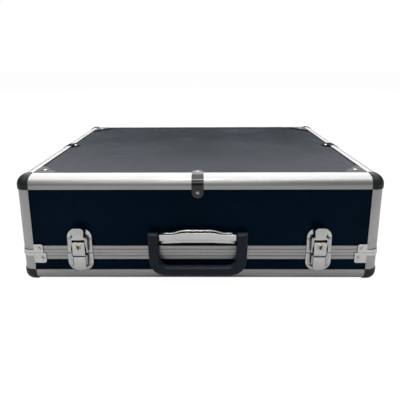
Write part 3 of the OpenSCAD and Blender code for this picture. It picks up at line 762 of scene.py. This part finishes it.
class CASE_OT_bail(bpy.types.Operator):
    """Builds the carrying handle as one rounded moulding"""

    bl_idname = "attache.bail"
    bl_label = "Carrying handle"

    def execute(self, context):
        lo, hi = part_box("handle_bail")
        x_mid, y_axle, z_axle = AXLE
        half = (hi.x - lo.x) / 2 / MM
        z0, top = lo.z / MM, hi.z / MM
        eye = top - z_axle
        arm, grip, taper = 13.4, 12.6, 1.2
        r_out, r_in = 20.0, 12.5
        x_out, x_in = half - 0.05, half - arm
        z_in = z0 + grip

        def side(sign):
            """Outer and inner outline points of one side, from the axle to the middle."""
            pairs = []
            for i in range(9):
                t = i / 9
                zo = z_axle + (z0 + r_out - z_axle) * t
                zi = z_axle + (z_in + r_in - z_axle) * t
                pairs.append(((x_out - taper * t, zo), (x_in - taper * 0.5 * t, zi)))
            xo, xi = x_out - taper, x_in - taper * 0.5
            for i in range(13):
                a = math.radians(90 * i / 12)
                pairs.append((
                    (xo - r_out + r_out * math.cos(a), z0 + r_out - r_out * math.sin(a)),
                    (xi - r_in + r_in * math.cos(a), z_in + r_in - r_in * math.sin(a))))
            for i in range(1, 8):
                t = i / 8
                pairs.append((((xo - r_out) * (1 - t), z0), ((xi - r_in) * (1 - t), z_in)))
            return [((sign * o[0], o[1]), (sign * n[0], n[1])) for o, n in pairs]

        left, right = side(-1), side(1)
        spine = left + [((0.0, z0), (0.0, z_in))] + list(reversed(right))
        reach = y_axle - lo.y / MM - 0.2
        back = 5.3
        bm = bmesh.new()
        m = 28
        rings = []

        def ring(outer, inner, half_depth, y_mid, e):
            mid = ((outer[0] + inner[0]) / 2 + x_mid, (outer[1] + inner[1]) / 2)
            vec = ((outer[0] - inner[0]) / 2, (outer[1] - inner[1]) / 2)
            row = []
            for k in range(m):
                a = 2 * math.pi * k / m
                ca, sa = math.cos(a), math.sin(a)
                u = math.copysign(abs(ca) ** e, ca)
                v = math.copysign(abs(sa) ** e, sa)
                row.append(bm.verts.new((mid[0] + vec[0] * u, y_mid + v * half_depth,
                                         mid[1] + vec[1] * u)))
            return row

        def arm_end(sign):
            """Rings that round the arm off over its axle, from the very top down."""
            rows = []
            for i in range(8):
                a = math.radians(90 * (1 - (i + 0.35) / 8.35))
                z = z_axle + eye * math.sin(a)
                rows.append(ring((sign * x_out, z), (sign * x_in, z), back * math.cos(a),
                                 y_axle, 0.4))
            return rows

        rings += arm_end(-1)
        n = len(spine)
        for i, (o, q) in enumerate(spine):
            t = min(i, n - 1 - i) / (n // 2)
            swell = max(0.0, min(1.0, (t - 0.30) / 0.35))
            swell = swell * swell * (3 - 2 * swell)
            front = back + (reach - back) * swell
            rear = back - 0.9 * swell
            rings.append(ring(o, q, (rear + front) / 2, y_axle + (rear - front) / 2,
                              0.4 + 0.4 * swell))
        rings += list(reversed(arm_end(1)))
        for a, b in zip(rings, rings[1:]):
            join_rows(bm, a, b)
        bm.faces.new(rings[0])
        bm.faces.new(list(reversed(rings[-1])))
        finish_object("bail_moulding", bm, "handle", "handle",
                      ("handle_bail",), sharp=70)
        for name, sign in (("left", -1), ("right", 1)):
            bm = bmesh.new()
            x_cap = x_mid + sign * (x_out - 0.55)
            profile = [(0.0, 0.50), (0.5, 0.48), (0.6, 0.30), (2.4, 0.28), (2.7, 0.10),
                       (2.9, -0.5), (0.0, -0.5)]
            lathe(bm, profile, lambda x, y, h: Vector((x_cap + sign * h, y_axle + x, z_axle + y)))
            finish_object("bail_pin_end_" + name, bm, "handle", "pins", sharp=35)
        return {"FINISHED"}


# ---------------------------------------------------------------- latches


TAB_LEN = 17.3
DRAW_HALF = 7.85
PLUG_SIDES = 48
KEYWAY_DEPTH = 1.7


def tab_outline():
    """Front view of a latch tab: narrow at its root, wider and rounded at its free end."""
    pts = [(-6.4, 0.0), (6.4, 0.0)]
    pts += [(6.9, 5.5), (7.6, 11.0)]
    pts += arc(3.7, TAB_LEN - 4.2, 4.2, 0, 90, 8)
    pts += [(0.0, TAB_LEN)]
    pts += arc(-3.7, TAB_LEN - 4.2, 4.2, 90, 180, 8)
    pts += [(-7.6, 11.0), (-6.9, 5.5)]
    return dense(pts, 1.6)


def keyway(angle):
    """Distance from the plug's middle to the edge of its keyway: a round hole over a slot."""
    c, s = math.cos(angle), math.sin(angle)
    up, hole, slot, low = 0.8, 1.6, 1.0, 2.5
    ring = s * up + math.sqrt(hole * hole - up * up * c * c)
    box = min(slot / max(abs(c), 1e-6), (low if s < 0 else up) / max(abs(s), 1e-6))
    return max(ring, box)


def joint_spot(name):
    """A front joint's (distance across, distance out, height over the seam)."""
    x, y, z = (v / MM for v in JOINTS[name]["pos_m"])
    return x, -HY - y, z - SEAM


def latch_tab(side, curl):
    """Lever: curled tab, its two ears and the fold that joins them."""
    x, o1, z1 = joint_spot("lever_%s_turn" % side)
    _, o2, z2 = joint_spot("hook_%s_swing" % side)
    at = front_place(x, SEAM)
    root = z2 + 4.6
    bm = bmesh.new()

    def tab_at(u, v, h):
        t = max(0.0, v) / TAB_LEN
        out = 5.1 + curl * t * t + 0.35 * math.cos(u / 8.0 * math.pi / 2)
        return at(u, root + v, out + h)

    rounded_plate(bm, tab_outline(), tab_at, 0.0, 1.15, 0.45, 0.12, 5)
    ear = arc(o1, z1, 1.9, 180, 360, 10)
    ear += [(o2 + 2.0, z2), (o2 + 2.0, root + 1.2), (o2 - 0.6, root + 1.6), (o2 - 1.9, z2 + 1.0)]
    for s in (-1, 1):
        rounded_plate(bm, ear, lambda o, z, h, s=s: at(s * (8.2 + h), z, o),
                      0.0, 1.2, 0.2, 0.0, 1)
    fold = [(-9.3, root + 0.05), (9.3, root + 0.05), (9.0, root + 2.9), (-9.0, root + 2.9)]
    rounded_plate(bm, dense(fold, 2.0), at, 4.4, 6.3, 0.5, 0.0, 2)
    finish_object("latch_%s_tab" % side, bm, "lever_" + side, "chrome",
                  ("latch_%s_lever" % side,), sharp=38)


def latch_draw_plate(side):
    """Draw plate: back strip with its barrel, the bored lock cover and the domed foot."""
    x, _, _ = joint_spot("lever_%s_turn" % side)
    _, o2, z2 = joint_spot("hook_%s_swing" % side)
    lock = joint_spot("plug_%s_turn" % side)[2]
    at = front_place(x, SEAM)
    w = DRAW_HALF
    bm = bmesh.new()
    strip = [(-w + 0.3, -20.6), (w - 0.3, -20.6), (w - 0.3, z2), (-w + 0.3, z2)]
    rounded_plate(bm, dense(strip, 4.0), at, o2 + 0.05, 4.9, 0.2, 0.0, 1)
    c, r = w - 1.2, 1.2
    body = arc(c, 0.5, r, -90, 0, 4) + arc(c, 16.0, r, 0, 90, 4)
    body += arc(-c, 16.0, r, 90, 180, 4) + arc(-c, 0.5, r, 180, 270, 4)
    rounded_plate(bm, dense(body, 1.4), at, 4.7, 7.0, 0.6, 0.15, 5, hole=(0.0, lock, 3.1))
    foot = [(-w, -2.9), (-w, -15.2)] + arc(-1.5, -15.4, w - 1.5, 180, 270, 10)
    foot += arc(1.5, -15.4, w - 1.5, 270, 360, 10) + [(w, -15.2), (w, -2.9)]
    foot.reverse()
    rounded_plate(bm, dense(foot, 1.4), at, 4.7, 6.4, 0.9, 0.58, 7)
    claw = [(-5.6, -20.1), (5.6, -20.1), (5.6, -18.2), (-5.6, -18.2)]
    rounded_plate(bm, dense(claw, 3.0), at, 1.85, 5.3, 0.2, 0.0, 1)
    barrel = [(0.95, -w), (1.7, -w), (1.88, 0.25 - w), (1.88, w - 0.25), (1.7, w), (0.95, w),
              (0.95, -w)]
    lathe(bm, barrel, lambda a, b, h: at(h, z2 + b, o2 + a), 28)
    bezel = [(4.1, 6.8), (4.0, 7.25), (3.75, 7.5), (3.4, 7.58), (3.12, 7.5), (3.05, 7.3),
             (3.05, 5.75), (4.1, 5.75), (4.1, 6.8)]
    lathe(bm, bezel, lambda a, b, h: at(a, lock + b, h), 40)
    finish_object("latch_%s_draw_plate" % side, bm, "hook_" + side, "chrome",
                  ("latch_%s_hook" % side,), sharp=38)


def latch_plug(side):
    """Lock plug: a turned disc with its keyway sunk in."""
    x, _, lock = joint_spot("plug_%s_turn" % side)
    at = front_place(x, SEAM)
    lo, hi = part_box("latch_%s_plug" % side)
    back, face = -HY - hi.y / MM, -HY - lo.y / MM
    radius = hi.x / MM - x
    bm = bmesh.new()
    angles = [2 * math.pi * (k + 0.5) / PLUG_SIDES for k in range(PLUG_SIDES)]
    rim, bore = [radius] * PLUG_SIDES, [keyway(a) for a in angles]
    chamfer = [radius - 0.2] * PLUG_SIDES
    rows = [[bm.verts.new(at(d * math.cos(a), lock + d * math.sin(a), h))
             for a, d in zip(angles, reach)]
            for reach, h in ((rim, back), (rim, face - 0.25), (chamfer, face), (bore, face),
                             (bore, face - KEYWAY_DEPTH))]
    for a, b in zip(rows, rows[1:]):
        join_rows(bm, a, b)
    bm.faces.new(rows[0])
    bm.faces.new(rows[-1])
    finish_object("latch_%s_plug_disc" % side, bm, "plug_" + side, "brass",
                  ("latch_%s_plug" % side,), sharp=38)


ROLL_SIDES = 12


def arched(w, z0, z1, low, high):
    """Long outline whose lower and upper edges rise towards the middle."""
    pts = [(-w, z0), (-40, z0), (-19, z0 + low), (19, z0 + low), (40, z0), (w, z0),
           (w, z1), (36, z1), (31, z1 + high * 0.12), (21, z1 + high * 0.88),
           (16, z1 + high), (-16, z1 + high), (-21, z1 + high * 0.88),
           (-31, z1 + high * 0.12), (-36, z1), (-w, z1)]
    return pts


class CASE_OT_handle_plate(bpy.types.Operator):
    """Builds the pressed handle plate with its rolled upper rim, and the housing's front sheet"""

    bl_idname = "attache.handle_plate"
    bl_label = "Handle plate"

    def execute(self, context):
        x_mid, _, axle = AXLE
        at = front_place(x_mid, axle)
        lo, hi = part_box("handle_plate")
        w = (hi.x - lo.x) / 2 / MM
        bm = bmesh.new()
        outline = arched(w, lo.z / MM - axle, 2.0, 1.0, hi.z / MM - axle - 2.0)
        rounded_plate(bm, dense(outline, 4.0), at, -1.5, 0.9, 0.5, 0.0, 2)
        top = [(u, v - 0.95) for u, v in dense(outline, 3.0) if v > 1.5 and abs(u) < w - 1]
        top.sort()
        rows = []
        for u, v in top:
            rows.append([bm.verts.new(at(u, v + 0.9 * math.cos(a), 1.3 + 0.9 * math.sin(a)))
                         for a in [2 * math.pi * k / ROLL_SIDES for k in range(ROLL_SIDES)]])
        for a, b in zip(rows, rows[1:]):
            join_rows(bm, a, b)
        bm.faces.new(rows[0])
        bm.faces.new(list(reversed(rows[-1])))
        finish_object("handle_plate_pressing", bm, "deep_half", "chrome",
                      ("handle_plate",), sharp=40)

        lo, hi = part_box("handle_housing")
        z0 = lo.z / MM - axle
        bm = bmesh.new()
        outline = arched(w, z0, 4.2, 1.4, 2.3)
        rounded_plate(bm, dense(outline, 4.0), at, 9.2, 10.25, 0.35, 0.0, 3,
                      lambda u, v: 0.12 * math.cos(v / 5 * math.pi / 2))
        for s in (-1, 1):
            end = [(s * (w - 4), z0), (s * w, z0), (s * w, 4.2), (s * (w - 4), 4.2)]
            rounded_plate(bm, end, at, 1.0, 9.4, 0.3, 0.0, 1)
        web_w, web_z = w - 3.9, z0 + 0.03
        web = [(-web_w, web_z), (web_w, web_z), (web_w, web_z + 1), (-web_w, web_z + 1)]
        rounded_plate(bm, web, at, 1.0, 9.3, 0.2, 0.0, 1)
        finish_object("handle_housing_pressing", bm, "deep_half", "chrome",
                      ("handle_housing",), sharp=40)
        return {"FINISHED"}


class CASE_OT_latches(bpy.types.Operator):
    """Builds the curled tabs and domed draw plates of both latches"""

    bl_idname = "attache.latches"
    bl_label = "Latches"

    def execute(self, context):
        for side in SIDES:
            latch_tab(side, context.scene.case_sizes.tab_curl / MM)
            latch_draw_plate(side)
            latch_plug(side)
        return {"FINISHED"}


# ---------------------------------------------------------------- linings


def lining_mesh(bm, z_rim, z_floor):
    """Tub of flocked lining with rounded corners, a padded floor and a turned rim."""
    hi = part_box("lower_lining")[1]
    ax, ay = hi.x / MM, hi.y / MM
    thick, corner_r, floor_r, steps = 2.0, 3.0, 7.0, 6
    sign = 1 if z_floor < z_rim else -1
    cx, cy = ax - corner_r, ay - corner_r
    outline = []
    for x, y, start in ((cx, cy, 0), (-cx, cy, 90), (-cx, -cy, 180), (cx, -cy, 270)):
        outline += arc(x, y, corner_r, start, start + 90, 8)
    outline = dense(outline, 16.0)
    rings = []

    def ring(inward, z):
        kx, ky = (ax - inward) / ax, (ay - inward) / ay
        rings.append([bm.verts.new((x * kx, y * ky, z)) for x, y in outline])

    ring(0.0, z_floor)
    for inward, drop in ((0.0, 0.6), (0.3, 0.1), (1.0, 0.0), (1.7, 0.1), (thick, 0.6)):
        ring(inward, z_rim - sign * drop)
    z_in = z_floor + sign * thick
    for i in range(steps + 1):
        a = math.radians(90 * i / steps)
        ring(thick + floor_r * (1 - math.cos(a)), z_in + sign * floor_r * (1 - math.sin(a)))
    for inward in (18, 40, 70, 110, 150):
        if inward < ay - 4:
            ring(inward, z_in)
    for a, b in zip(rings, rings[1:]):
        join_rows(bm, a, b)
    bm.faces.new(rings[-1])
    bm.faces.new(list(reversed(rings[0])))


class CASE_OT_linings(bpy.types.Operator):
    """Builds the flocked lining tub of each half"""

    bl_idname = "attache.linings"
    bl_label = "Linings"

    def execute(self, context):
        for half, body in (("lower", "shallow_half"), ("upper", "deep_half")):
            levels = [corner.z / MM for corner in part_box(half + "_lining")]
            floor, rim = levels if half == "lower" else reversed(levels)
            bm = bmesh.new()
            lining_mesh(bm, rim, floor)
            finish_object(half + "_lining_tub", bm, body, "lining",
                          (half + "_lining",), sharp=60)
        return {"FINISHED"}


# ---------------------------------------------------------------- stage


# name, place, aim, size across and along, power in watts, spread in degrees
LIGHTS = (
    ("overhead_box", (0.0, 0.42, 1.3), (0, 0.42, 0), (2.8, 2.9), 60, 180),
    ("rear_box", (0.0, 1.9, 1.29), (0, 0, 0.12), (3.4, 1.0), 30, 180),
    ("front_box", (-0.3, -2.2, 1.2), (0, 0, 0.08), (1.6, 0.8), 7, 180),
    ("floor_card", (0, -0.8, 1.0), (0, -0.27, 0), (1.4, 0.12), 0.35, 24),
)


def area_light(name, place, aim, size, power, spread):
    """Adds a rectangular lamp at a place, pointing at its aim."""
    data = bpy.data.lights.new(name, "AREA")
    data.shape = "RECTANGLE"
    data.size, data.size_y = size
    data.energy = power
    data.spread = math.radians(spread)
    ob = bpy.data.objects.new(name, data)
    ob.location = place
    ob.rotation_euler = (Vector(aim) - Vector(place)).to_track_quat("-Z", "Y").to_euler()
    bpy.context.scene.collection.objects.link(ob)


def seen_white(tree, shader_out, share, white, kind):
    """Lets the camera see white in place of most of a surface, and light see the surface itself."""
    path = node(tree, "LightPath")
    glow = node(tree, kind)
    glow.inputs["Color"].default_value = (white, white, white, 1)
    glow.inputs["Strength"].default_value = 1.0
    mix = node(tree, "MixShader")
    tree.links.new(maths(tree, "MULTIPLY", path.outputs["Is Camera Ray"], share), mix.inputs[0])
    tree.links.new(shader_out, mix.inputs[1])
    tree.links.new(glow.outputs[0], mix.inputs[2])
    return mix.outputs[0]


class CASE_OT_stage(bpy.types.Operator):
    """Sets the pale floor, the soft studio lights and the camera"""

    bl_idname = "attache.stage"
    bl_label = "Studio"

    def execute(self, context):
        scene = context.scene
        bm = bmesh.new()
        n, half = 12, 6.0
        grid = [[bm.verts.new((half * (2 * i / n - 1), half * (2 * j / n - 1), 0.0))
                 for j in range(n + 1)] for i in range(n + 1)]
        for i in range(n):
            for j in range(n):
                bm.faces.new((grid[i][j], grid[i + 1][j], grid[i + 1][j + 1], grid[i][j + 1]))
        me = bpy.data.meshes.new("studio_floor")
        bm.to_mesh(me)
        bm.free()
        floor = bpy.data.objects.new("studio_floor", me)
        scene.collection.objects.link(floor)
        m, t, p = start_material("studio floor", Roughness=0.85)
        pulp = node(t, "TexNoise", Scale=3.0, Detail=3.0)
        co = node(t, "TexCoord")
        t.links.new(co.outputs["Object"], pulp.inputs["Vector"])
        c = tuple(scene.case_colours.floor)
        t.links.new(colour_mix(t, pulp.outputs["Fac"], tuple(v * 0.95 for v in c), c),
                    p.inputs["Base Color"])
        out = t.nodes["Material Output"]
        t.links.new(seen_white(t, p.outputs[0], 0.9, 1.08, "Emission"), out.inputs["Surface"])
        me.materials.append(m)

        world = bpy.data.worlds.new("studio")
        scene.world = world
        world.use_nodes = True
        wt = world.node_tree
        bg = wt.nodes["Background"]
        bg.inputs["Color"].default_value = (0.93, 0.97, 1, 1)
        bg.inputs["Strength"].default_value = 0.10
        wt.links.new(seen_white(wt, bg.outputs[0], 1.0, 1.0, "Background"),
                     wt.nodes["World Output"].inputs["Surface"])
        for light in LIGHTS:
            area_light(*light)

        view = scene.case_camera
        data = bpy.data.cameras.new("camera")
        data.sensor_width = 36
        data.lens = view.lens
        data.shift_y = view.shift
        data.clip_start = 0.02
        cam = bpy.data.objects.new("camera", data)
        turn = Matrix.Rotation(view.turn, 4, "Z")
        tilt = Matrix.Rotation(math.pi / 2 - view.pitch, 4, "X")
        roll = Matrix.Rotation(-view.roll, 4, "Z")
        cam.matrix_world = Matrix.Translation(view.place) @ turn @ tilt @ roll
        scene.collection.objects.link(cam)
        scene.camera = cam
        scene.view_settings.view_transform = "Standard"
        return {"FINISHED"}


# ---------------------------------------------------------------- add-on


class CASE_PT_panel(bpy.types.Panel):
    """Lists the builders of the case"""

    bl_idname = "CASE_PT_panel"
    bl_label = "Attache case"
    bl_space_type = "VIEW_3D"
    bl_region_type = "UI"
    bl_category = "Attache case"

    def draw(self, context):
        scene = context.scene
        for group_name in ("case_sizes", "case_colours", "case_camera"):
            settings = getattr(scene, group_name)
            for key in settings.bl_rna.properties.keys():
                if key not in ("rna_type", "name"):
                    self.layout.prop(settings, key)
        for op in OPERATORS:
            self.layout.operator(op.bl_idname)


OPERATORS = (CASE_OT_cad_finish, CASE_OT_corner_caps, CASE_OT_bail, CASE_OT_handle_plate,
             CASE_OT_latches, CASE_OT_linings, CASE_OT_stage)
SETTINGS = {"case_sizes": CaseSizes, "case_colours": CaseColours, "case_camera": CaseCamera}


def register():
    for cls in (*SETTINGS.values(), *OPERATORS, CASE_PT_panel):
        bpy.utils.register_class(cls)
    for name, cls in SETTINGS.items():
        setattr(bpy.types.Scene, name, PointerProperty(type=cls))


def unregister():
    for name in SETTINGS:
        delattr(bpy.types.Scene, name)
    for cls in (CASE_PT_panel, *reversed(OPERATORS), *SETTINGS.values()):
        bpy.utils.unregister_class(cls)


def main():
    register()
    for op in OPERATORS:
        call = bpy.ops
        for part in op.bl_idname.split("."):
            call = getattr(call, part)
        if call() != {"FINISHED"}:
            raise RuntimeError("%s did not finish" % op.bl_idname)


if __name__ == "__main__":
    main()
